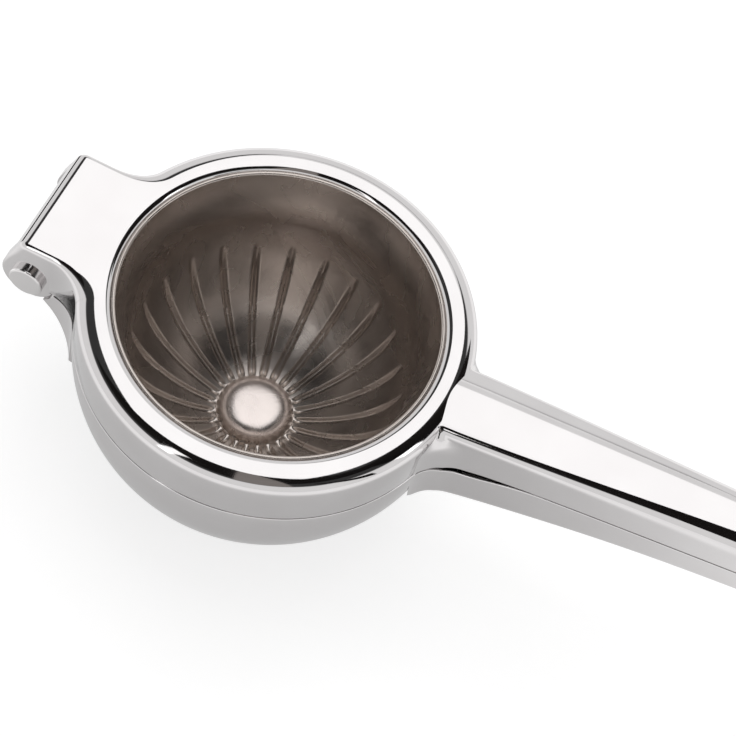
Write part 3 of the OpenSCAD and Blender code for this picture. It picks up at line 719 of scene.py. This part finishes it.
def upper_section(x):
    """The upper handle's cross-section at a place along it."""
    w = half_w(x)
    r = min(0.73 * w, TOP_EDGE_R + TOP_EDGE_GAIN * smooth_step(x, ROOT_X, GAINED_X))
    crown = CROWN_H * w / ROOT_W
    end = max(0, x - HANDLE_END + UPPER_TIP_R)
    drop = UPPER_TIP_R - math.sqrt(UPPER_TIP_R ** 2 - min(end, UPPER_TIP_R - 0.01) ** 2)
    base = top_edge_z(x) - drop
    # The edge's round runs into the crown where both slope alike: a few steps find that tilt.
    tilt = 0.3
    for _ in range(6):
        tilt = math.atan(2 * crown * (w - r + r * math.sin(tilt)) / (w * w))
    y_in = w - r + r * math.sin(tilt)
    hub = base + crown * (1 - (y_in / w) ** 2) - r * math.cos(tilt)
    low = seam_line(x) + 0.02
    bed = HIGH_BED if PLATE_X < x < PLATE_END_X else NO_BED
    lip = max(w - HANDLE_WALL, 0.2 * w)
    b = min(SEAM_EDGE_R, 0.2 * w)
    half = [(lip, low + bed), (lip, low)] + arc(w - b, low + b, b, -90, 0, 3)
    half += [(w, low + b + 0.1), (w, low + b + 0.3)]
    half += [(w, low + b + 0.3 + (hub - low - b - 0.4) * i / 6) for i in range(1, 7)]
    half += arc(w - r, hub, r, 0, 90 - math.degrees(tilt), 14)
    half += [(y_in * i / 12, base + crown * (1 - (y_in * i / 12 / w) ** 2))
             for i in range(11, 0, -1)]
    # The start of the handle stays inside the thickness of the ring's top.
    half = [(y, max(z, RING_TOP - TOP_T + 0.05) if x < LEAVES_RING_X else z) for y, z in half]
    # The rounded corner to the skirt closes to a crease towards the top of the ring.
    half = [(in_corner(x, y, z,
                       CREASE_R + ROOT_CORNER_R * (1 - smooth_step(z, CREASE_LOW, CREASE_HIGH)))
             if y > 0.8 * w else y, z) for y, z in half]
    points = half + [(0, base + crown)] + [(-y, z) for y, z in reversed(half)]
    return [(x, y, z) for y, z in points]


upper_handle = loft("upper_handle", [upper_section(x) for x in [35.4, 36, 36.6, 37.2] + STATIONS],
                    caps=True)
press_lever = join("polished_press_lever", [ring, tab, clean(upper_handle, 40)])
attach(press_lever, "press_lever")
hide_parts("press_frame")
coat(press_lever, mirror_steel)

# ---- Press bowl ----
# Stainless sheet, 1.2 mm thick, drawn to a round bottom with a raised button and 24 ribs, its
# lip curled into the ring's seat. The die leaves the inside satin and the wall smooth.

# The round bottom, the button in it with the degrees left free beside it, and the lip.
BOWL_R, BOWL_Z, SHEET_T = 29.6, 38.261, 1.2
BUTTON_R, BUTTON_H, BUTTON_GAP = 8.2, 3.4, 0.4
LIP_R, LIP_Z, CURL_R, WALL_LEAN = 33.16, RING_TOP - 0.7, 0.5, 2.7
# The ribs: number, inner end, outer end in degrees, half width, depth at the faint outer end
# and the depth they gain further in.
RIBS, RIB_IN_R, RIB_TURN, RIB_HALF, RIB_FAINT, RIB_GAIN = 24, 9.3, 73, 0.85, 0.2, 0.6
COLUMNS = 22 * RIBS

button_foot = BOWL_Z - math.sqrt(BOWL_R ** 2 - BUTTON_R ** 2)
profile = []
for i in range(15):
    r = BUTTON_R * math.sin(math.radians(90 * i / 14))
    profile.append((r, button_foot + BUTTON_H * (1 - (r / BUTTON_R) ** 5) ** 0.6))
foot_turn = math.degrees(math.asin(BUTTON_R / BOWL_R))
profile += [(BOWL_R * math.sin(t), BOWL_Z - BOWL_R * math.cos(t))
            for t in (math.radians(foot_turn + BUTTON_GAP
                                   + (90 - foot_turn - BUTTON_GAP) * i / 58)
                      for i in range(59))]
wall_h = LIP_Z - CURL_R - BOWL_Z
profile += [(BOWL_R + WALL_LEAN * t ** 1.7, BOWL_Z + wall_h * t)
            for t in ((i + 1) / 8 for i in range(8))]
curl_x, curl_z = profile[-1]
profile += [(curl_x + CURL_R - CURL_R * math.cos(t), curl_z + CURL_R * math.sin(t))
            for t in (math.radians(18 * (i + 1)) for i in range(5))]
profile += [(LIP_R, LIP_Z)]

rib_from, rib_to = math.asin(RIB_IN_R / BOWL_R), math.radians(RIB_TURN)
rows = []
for r, z in profile:
    turn = math.atan2(r, BOWL_Z - z)
    on_ball = r > BUTTON_R and z < BOWL_Z
    row = []
    for j in range(COLUMNS):
        a = math.tau * j / COLUMNS
        depth = 0
        if on_ball:
            off = (a * RIBS / math.tau + 0.5) % 1 - 0.5
            beside = BOWL_R * math.sin(turn) * off * math.tau / RIBS
            beyond = BOWL_R * max(0, rib_from - turn, turn - rib_to)
            half = RIB_HALF - 0.15 * smooth_step(turn, rib_from, rib_to)
            near_rib = math.hypot(beside, beyond) / half
            if near_rib < 1:
                fade = smooth_step(BOWL_R * (rib_to - turn), -1, 7)
                depth = (RIB_FAINT + RIB_GAIN * fade) * (1 - near_rib ** 2) ** 1.5
        out = 1 + depth / BOWL_R
        row.append((r * out * math.cos(a), r * out * math.sin(a), BOWL_Z + (z - BOWL_Z) * out))
    rows.append(row)
bowl = clean(loft("pressed_bowl", rows), 50)
pick(bowl)
sheet = bowl.modifiers.new("sheet", "SOLIDIFY")
sheet.thickness, sheet.offset = SHEET_T * MM, -1
bpy.ops.object.modifier_apply(modifier=sheet.name)
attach(bowl, "press_lever")
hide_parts("press_bowl")

# Drawn stainless sheet with a satin bloom from the die: warmer and darker than the polished
# forgings, with soft cloudy swirls, 18 mm across, where the drawing oil burned off. The button
# is painted lighter as a painted highlight. The bloom's specks are drawn 1 mm coarse, so that
# they show.
drawn_steel, tree = bare_material("deep_drawn_satin_steel")
place = add(tree, "ShaderNodeTexCoord", {})
level = add(tree, "ShaderNodeVectorMath", {"operation": "MULTIPLY"}, in0=place.outputs["Object"],
            in1=(1.0, 1.0, 0.0))
reach = add(tree, "ShaderNodeVectorMath", {"operation": "LENGTH"}, in0=level.outputs[0])
# Painted highlight: the button's colour is made lighter inside this radius.
painted_button_highlight = add(tree, "ShaderNodeMapRange", {"interpolation_type": "SMOOTHSTEP"},
             Value=reach.outputs["Value"], From_Min=0.0066, From_Max=0.0086, To_Min=1.0, To_Max=0.0)
cloud = add(tree, "ShaderNodeTexNoise", {}, Vector=place.outputs["Object"], Scale=55.0,
            Detail=4.0, Distortion=2.5)
speck = add(tree, "ShaderNodeTexNoise", {}, Vector=place.outputs["Object"], Scale=900.0,
            Detail=2.0)
tone = add(tree, "ShaderNodeMix", {"data_type": "RGBA"}, in0=cloud.outputs["Fac"],
           in6=linear("#B1A9A3"), in7=linear("#CEC5BF"))
tone = add(tree, "ShaderNodeMix", {"data_type": "RGBA"}, in0=painted_button_highlight.outputs[0],
           in6=tone.outputs[2], in7=linear("#D2C9C5"))
rough = add(tree, "ShaderNodeMapRange", {}, Value=cloud.outputs["Fac"], To_Min=0.2, To_Max=0.34)
swell = add(tree, "ShaderNodeBump", {}, Strength=0.12, Distance=0.0001,
            Height=speck.outputs["Fac"])
ripple = add(tree, "ShaderNodeBump", {}, Strength=0.1, Distance=0.001,
             Height=cloud.outputs["Fac"], Normal=swell.outputs[0])
steel = add(tree, "ShaderNodeBsdfPrincipled", {}, Base_Color=tone.outputs[2], Metallic=1.0,
            Roughness=rough.outputs[0], Normal=ripple.outputs[0])
add(tree, "ShaderNodeOutputMaterial", {}, Surface=steel.outputs[0])
coat(bowl, drawn_steel)

# ---- Hinge lug ----
# A short block of 18/8 steel between the ears, milled to a round eye and brazed into the
# neck's fork. Its faces keep the lines of the cutter, 0.5 mm apart.
milled_steel, tree = bare_material("milled_stainless_steel")
place = add(tree, "ShaderNodeTexCoord", {})
mark = add(tree, "ShaderNodeTexWave", {"bands_direction": "Z"}, Vector=place.outputs["Object"],
           Scale=600.0, Distortion=1.5, Detail=2.0)
tone = add(tree, "ShaderNodeMix", {"data_type": "RGBA"}, in0=mark.outputs["Fac"],
           in6=linear("#A9A7A6"), in7=linear("#C8C6C5"))
rough = add(tree, "ShaderNodeMapRange", {}, Value=mark.outputs["Fac"], To_Min=0.22, To_Max=0.36)
swell = add(tree, "ShaderNodeBump", {}, Strength=0.2, Distance=0.00005,
            Height=mark.outputs["Fac"])
steel = add(tree, "ShaderNodeBsdfPrincipled", {}, Base_Color=tone.outputs[2], Metallic=1.0,
            Roughness=rough.outputs[0], Normal=swell.outputs[0])
add(tree, "ShaderNodeOutputMaterial", {}, Surface=steel.outputs[0])
coat(frame["nodes"]["hinge_lug"], milled_steel)

# ---- Bush in the lug ----
# A thin-walled bearing of tin bronze, turned and pressed into the lug's eye: yellow-brown and
# a little dull from oil, in stains of 2 to 3 mm.
bronze, tree = bare_material("turned_tin_bronze")
place = add(tree, "ShaderNodeTexCoord", {})
stain = add(tree, "ShaderNodeTexNoise", {}, Vector=place.outputs["Object"], Scale=400.0,
            Detail=4.0)
tone = add(tree, "ShaderNodeMix", {"data_type": "RGBA"}, in0=stain.outputs["Fac"],
           in6=linear("#8A6238"), in7=linear("#B98A50"))
rough = add(tree, "ShaderNodeMapRange", {}, Value=stain.outputs["Fac"], To_Min=0.25, To_Max=0.45)
metal = add(tree, "ShaderNodeBsdfPrincipled", {}, Base_Color=tone.outputs[2], Metallic=1.0,
            Roughness=rough.outputs[0])
add(tree, "ShaderNodeOutputMaterial", {}, Surface=metal.outputs[0])
coat(frame["nodes"]["lug_bush"], bronze)

# ---- Hinge pin, its cap and the two thrust washers ----
# Turned from 18/8 bar: the pin with its rounded head, the cap that closes its far end, and two
# thin washers that keep the ears off the lug. The lathe's rings on their faces are drawn 0.35 mm
# apart, coarser than a finishing cut leaves them, so that they show.
turned_steel, tree = bare_material("lathe_turned_stainless_steel")
place = add(tree, "ShaderNodeTexCoord", {})
centre = add(tree, "ShaderNodeMapping", {}, Vector=place.outputs["Object"],
             Location=(-HINGE_X * MM, 0, -HINGE_Z * MM))
lathe = add(tree, "ShaderNodeTexWave", {"wave_type": "RINGS", "rings_direction": "Y"},
            Vector=centre.outputs[0], Scale=900.0, Distortion=0.3)
tone = add(tree, "ShaderNodeMix", {"data_type": "RGBA"}, in0=lathe.outputs["Fac"],
           in6=linear("#CFCDCC"), in7=linear("#DEDCDC"))
rough = add(tree, "ShaderNodeMapRange", {}, Value=lathe.outputs["Fac"], To_Min=0.09, To_Max=0.16)
swell = add(tree, "ShaderNodeBump", {}, Strength=0.08, Distance=0.00003,
            Height=lathe.outputs["Fac"])
steel = add(tree, "ShaderNodeBsdfPrincipled", {}, Base_Color=tone.outputs[2], Metallic=1.0,
            Roughness=rough.outputs[0], Normal=swell.outputs[0])
add(tree, "ShaderNodeOutputMaterial", {}, Surface=steel.outputs[0])
for node in ("hinge_pin", "pin_cap", "washer_near", "washer_far"):
    coat(frame["nodes"][node], turned_steel)
